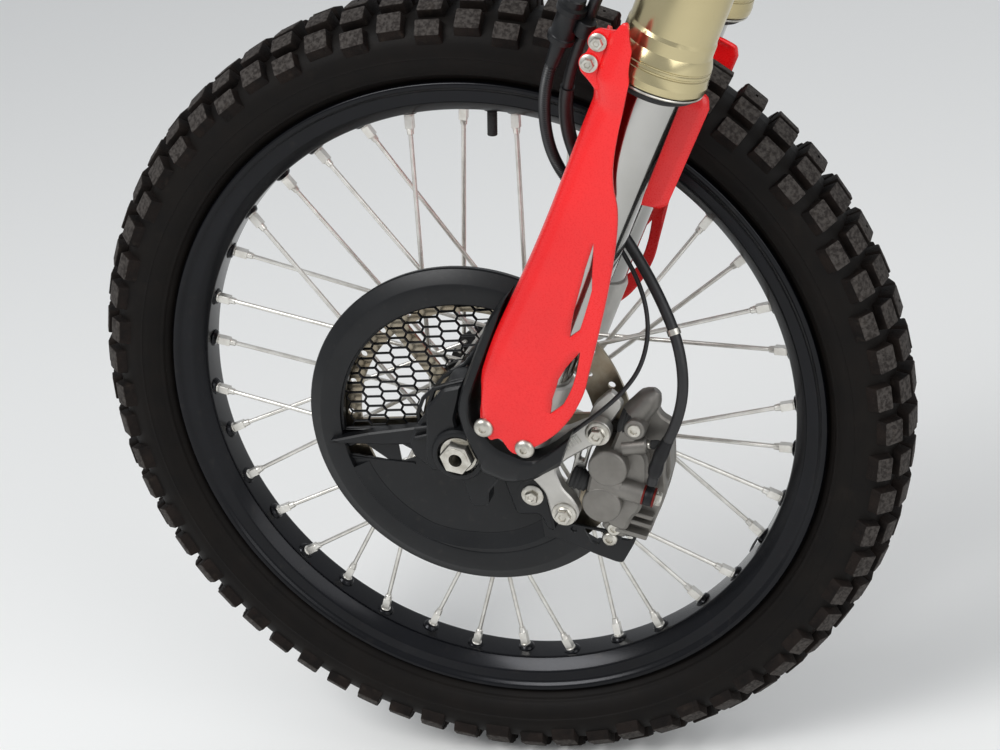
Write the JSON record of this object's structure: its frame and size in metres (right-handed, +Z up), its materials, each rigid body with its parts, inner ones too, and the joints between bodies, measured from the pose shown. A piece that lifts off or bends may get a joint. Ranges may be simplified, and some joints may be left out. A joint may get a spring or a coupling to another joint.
{
  "type": "motorcycle front fork and wheel assembly",
  "caption": "Front end of a dual sport motorcycle: spoked wheel with knobbly tyre on an upside-down fork, with disc brake, meshed disc cover, guards, clamps and stem.",
  "frame": {"origin": "on the steering axis, at the seat of the lower steering bearing", "axes": "+X to the rear of the motorcycle, +Y to the rider's right, +Z up; the steering axis leans 28 degrees to the rear"},
  "size_m": [0.8606, 0.279, 1.1823],
  "materials": {
    "tyre_rubber": "moulded, dusty",
    "rim_black": "gloss black anodised",
    "spoke_steel": "bright, slightly dull",
    "hub_black": "satin black",
    "bearing_steel": "ground",
    "disc_steel": "ground, tinted by heat",
    "axle_steel": "zinc plated",
    "cast_alloy": "shot-blasted casting",
    "tube_steel": "satin",
    "gold_anodised": "champagne anodised, turned",
    "clamp_alloy": "satin black",
    "guard_red": "moulded",
    "cover_black": "grained",
    "caliper_grey": "satin grey anodised",
    "pad_lining": "sintered",
    "hose_rubber": "satin",
    "seal_rubber": "matt",
    "fastener_zinc": "zinc plated"
  },
  "bodies": {
    "wheel": {"tyre": "tyre_rubber", "rim": "rim_black", "spokes_left": "spoke_steel", "spokes_right": "spoke_steel", "nipples": "spoke_steel", "hub": "hub_black", "wheel_bearings": "bearing_steel", "brake_disc": "disc_steel", "disc_bolts": "fastener_zinc", "valve_stem": "seal_rubber"},
    "fork": {"axle": "axle_steel", "axle_nut": "axle_steel", "axle_collar_left": "cast_alloy", "axle_collar_right": "cast_alloy", "fork_bottom_left": "cast_alloy", "fork_bottom_right": "cast_alloy", "inner_tube_left": "tube_steel", "inner_tube_right": "tube_steel", "dust_seal_left": "seal_rubber", "dust_seal_right": "seal_rubber", "outer_tube_left": "gold_anodised", "outer_tube_right": "gold_anodised", "fork_cap_left": "clamp_alloy", "fork_cap_right": "clamp_alloy", "lower_clamp": "clamp_alloy", "top_clamp": "clamp_alloy", "steering_stem": "axle_steel", "stem_nut": "axle_steel", "guard_left": "guard_red", "guard_right": "guard_red", "disc_cover": "cover_black", "cover_grille": "cover_black", "cover_shield": "cover_black", "caliper_body": "caliper_grey", "brake_pads": "pad_lining", "caliper_bracket": "cast_alloy", "bracket_bolts": "fastener_zinc", "brake_hose": "hose_rubber", "sensor_cable": "hose_rubber", "speed_sensor": "cover_black", "hose_banjo": "fastener_zinc"}
  },
  "joints": [
    {"name": "wheel_spin", "type": "hinge", "parent": "fork", "child": "wheel", "pos_m": [-0.39105, 0, -0.61319], "axis": [0, 1, 0], "continuous": true}
  ]
}
